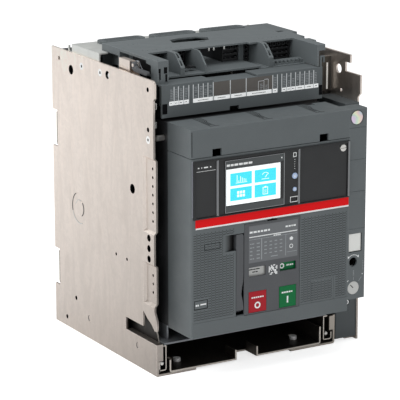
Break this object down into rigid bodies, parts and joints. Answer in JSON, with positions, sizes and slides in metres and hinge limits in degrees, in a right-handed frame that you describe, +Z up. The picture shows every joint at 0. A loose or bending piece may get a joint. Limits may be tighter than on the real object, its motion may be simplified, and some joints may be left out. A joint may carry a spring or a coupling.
{
  "type": "air circuit breaker",
  "caption": "Withdrawable air circuit breaker standing in its sheet steel cradle, with trip unit display, push buttons, charging lever, racking column and rear terminals.",
  "frame": {"origin": "centre of the whole object's footprint, on the plane it stands on, with the moving part in the disconnected position", "axes": "+Z up, front (trip unit and push buttons) faces -Y, +X to the right as seen from the front"},
  "size_m": [0.278, 0.338, 0.363],
  "materials": {
    "zinc_sheet": "galvanised, satin",
    "bright_steel": "zinc plated, bright",
    "black_steel": "black passivated, matt",
    "grey_plastic": "fine moulded texture",
    "centre_grey_plastic": "fine moulded texture",
    "black_thermoset": "moulded, matt",
    "shutter_plastic": "moulded, matt",
    "copper": "silver plated copper, satin",
    "trip_unit_black": "moulded, satin",
    "screen_face": "glossy",
    "red_band": "satin",
    "red_button": "satin",
    "green_button": "satin",
    "light_grey_plastic": "satin",
    "blue_white_plastic": "satin",
    "flag_faces": "satin"
  },
  "bodies": {
    "cradle": {"left_side_plate": "zinc_sheet", "right_side_plate": "zinc_sheet", "base_tray": "zinc_sheet", "right_guide_channel": "zinc_sheet", "racking_housing": "grey_plastic", "racking_nut": "bright_steel", "rear_insulating_wall": "black_thermoset", "rear_terminals": "copper", "rear_top_frame": "zinc_sheet", "pole_vents": "grey_plastic", "terminal_box": "grey_plastic", "sliding_contact_blocks": "black_thermoset", "label_panel": "grey_plastic", "latch_bracket": "zinc_sheet", "side_plate_screws": "bright_steel", "tray_screws": "bright_steel", "shutter_rods": "bright_steel"},
    "guide_rails": {"left_guide_rail": "zinc_sheet", "right_guide_rail": "zinc_sheet", "rail_stop_pins": "bright_steel"},
    "breaker": {"front_cover": "grey_plastic", "hood": "grey_plastic", "side_column": "grey_plastic", "centre_plate": "centre_grey_plastic", "carrier_plate": "black_steel", "guide_rollers": "bright_steel", "pole_case": "black_thermoset", "arc_chutes": "black_thermoset", "upper_conductors": "copper", "lower_conductors": "copper", "isolating_jaws": "copper", "current_sensors": "black_thermoset", "flexible_braids": "copper", "mechanism_frame": "bright_steel", "closing_spring": "bright_steel", "trip_unit_bezel": "trip_unit_black", "trip_unit_case": "trip_unit_black", "rating_plug_panel": "trip_unit_black", "display_panel": "trip_unit_black", "blank_module": "trip_unit_black", "touch_screen": "screen_face", "accent_strip": "red_band"},
    "racking_screw": {"racking_screw": "bright_steel"},
    "position_dial": {"position_dial": "light_grey_plastic"},
    "upper_shutter": {"upper_shutter": "shutter_plastic"},
    "lower_shutter": {"lower_shutter": "shutter_plastic"},
    "latch_lever": {"latch_lever": "centre_grey_plastic"},
    "charging_lever": {"charging_lever": "centre_grey_plastic"},
    "on_button": {"on_button": "green_button"},
    "off_button": {"off_button": "red_button"},
    "trip_reset_button": {"trip_reset_button": "grey_plastic"},
    "position_release_button": {"position_release_button": "light_grey_plastic"},
    "menu_button": {"menu_button": "blue_white_plastic"},
    "test_button": {"test_button": "blue_white_plastic"},
    "captive_screw": {"captive_screw": "bright_steel"},
    "pole_shaft": {"pole_shaft": "bright_steel", "contact_arms": "copper"},
    "contact_flag": {"contact_flag": "flag_faces"},
    "charging_shaft": {"charging_shaft": "bright_steel"},
    "spring_flag": {"spring_flag": "flag_faces"}
  },
  "joints": [
    {"name": "rails_draw_out", "type": "slide", "parent": "cradle", "child": "guide_rails", "axis": [0, -1, 0], "range_m": [0, 0.2]},
    {"name": "racking", "type": "slide", "parent": "guide_rails", "child": "breaker", "axis": [0, 1, 0], "range_m": [0, 0.034]},
    {"name": "racking_screw_turn", "type": "hinge", "parent": "breaker", "child": "racking_screw", "pos_m": [0.0962, -0.147, 0.115], "axis": [0, 1, 0], "range_deg": [0, 1020]},
    {"name": "position_dial_turn", "type": "hinge", "parent": "breaker", "child": "position_dial", "pos_m": [0.097, -0.166, 0.0834], "axis": [0, 1, 0], "range_deg": [0, 90]},
    {"name": "upper_shutter_lift", "type": "slide", "parent": "cradle", "child": "upper_shutter", "axis": [0, 0, 1], "range_m": [0, 0.0545]},
    {"name": "lower_shutter_drop", "type": "slide", "parent": "cradle", "child": "lower_shutter", "axis": [0, 0, -1], "range_m": [0, 0.0545]},
    {"name": "latch_lift", "type": "hinge", "parent": "cradle", "child": "latch_lever", "pos_m": [-0.131, -0.055, 0.353], "axis": [-1, 0, 0], "range_deg": [0, 20], "stiffness_Nm_per_rad": 0.02, "springref_deg": -17.19},
    {"name": "charging_stroke", "type": "hinge", "parent": "breaker", "child": "charging_lever", "pos_m": [-0.059, -0.158, 0.084], "axis": [1, 0, 0], "range_deg": [0, 75], "stiffness_Nm_per_rad": 0.05, "springref_deg": -14.32},
    {"name": "on_press", "type": "slide", "parent": "breaker", "child": "on_button", "axis": [0, 1, 0], "range_m": [0, 0.004], "stiffness_N_per_m": 400, "springref_m": -0.001},
    {"name": "off_press", "type": "slide", "parent": "breaker", "child": "off_button", "axis": [0, 1, 0], "range_m": [0, 0.004], "stiffness_N_per_m": 400, "springref_m": -0.001},
    {"name": "trip_reset_press", "type": "slide", "parent": "breaker", "child": "trip_reset_button", "axis": [0, 1, 0], "range_m": [0, 0.003], "stiffness_N_per_m": 300, "springref_m": -0.001},
    {"name": "position_release_press", "type": "slide", "parent": "breaker", "child": "position_release_button", "axis": [0, 1, 0], "range_m": [0, 0.003], "stiffness_N_per_m": 300, "springref_m": -0.001},
    {"name": "menu_press", "type": "slide", "parent": "breaker", "child": "menu_button", "axis": [0, 1, 0], "range_m": [0, 0.001], "stiffness_N_per_m": 300, "springref_m": -0.0005},
    {"name": "test_press", "type": "slide", "parent": "breaker", "child": "test_button", "axis": [0, 1, 0], "range_m": [0, 0.001], "stiffness_N_per_m": 300, "springref_m": -0.0005},
    {"name": "captive_screw_turn", "type": "hinge", "parent": "breaker", "child": "captive_screw", "pos_m": [0.0795, -0.166, 0.254], "axis": [0, 1, 0], "range_deg": [0, 90]},
    {"name": "pole_shaft_turn", "type": "hinge", "parent": "breaker", "child": "pole_shaft", "pos_m": [-0.017, -0.017, 0.13], "axis": [-1, 0, 0], "range_deg": [0, 17.5], "stiffness_Nm_per_rad": 2, "springref_deg": -28.65},
    {"name": "contact_flag_drop", "type": "slide", "parent": "breaker", "child": "contact_flag", "axis": [0, 0, -1], "range_m": [0, 0.0126]},
    {"name": "charging_shaft_turn", "type": "hinge", "parent": "breaker", "child": "charging_shaft", "pos_m": [-0.02, -0.131, 0.15], "axis": [1, 0, 0], "range_deg": [0, 180]},
    {"name": "spring_flag_drop", "type": "slide", "parent": "breaker", "child": "spring_flag", "axis": [0, 0, -1], "range_m": [0, 0.0126]}
  ],
  "couplings": [
    {"joint": "racking_screw_turn", "follows": "racking", "rad_per_m": 523.5},
    {"joint": "position_dial_turn", "follows": "racking", "rad_per_m": 46.15},
    {"joint": "upper_shutter_lift", "follows": "racking", "ratio": 1.6},
    {"joint": "lower_shutter_drop", "follows": "racking", "ratio": 1.6},
    {"joint": "contact_flag_drop", "follows": "pole_shaft_turn", "m_per_rad": 0.0409},
    {"joint": "spring_flag_drop", "follows": "charging_shaft_turn", "m_per_rad": 0.00397}
  ]
}
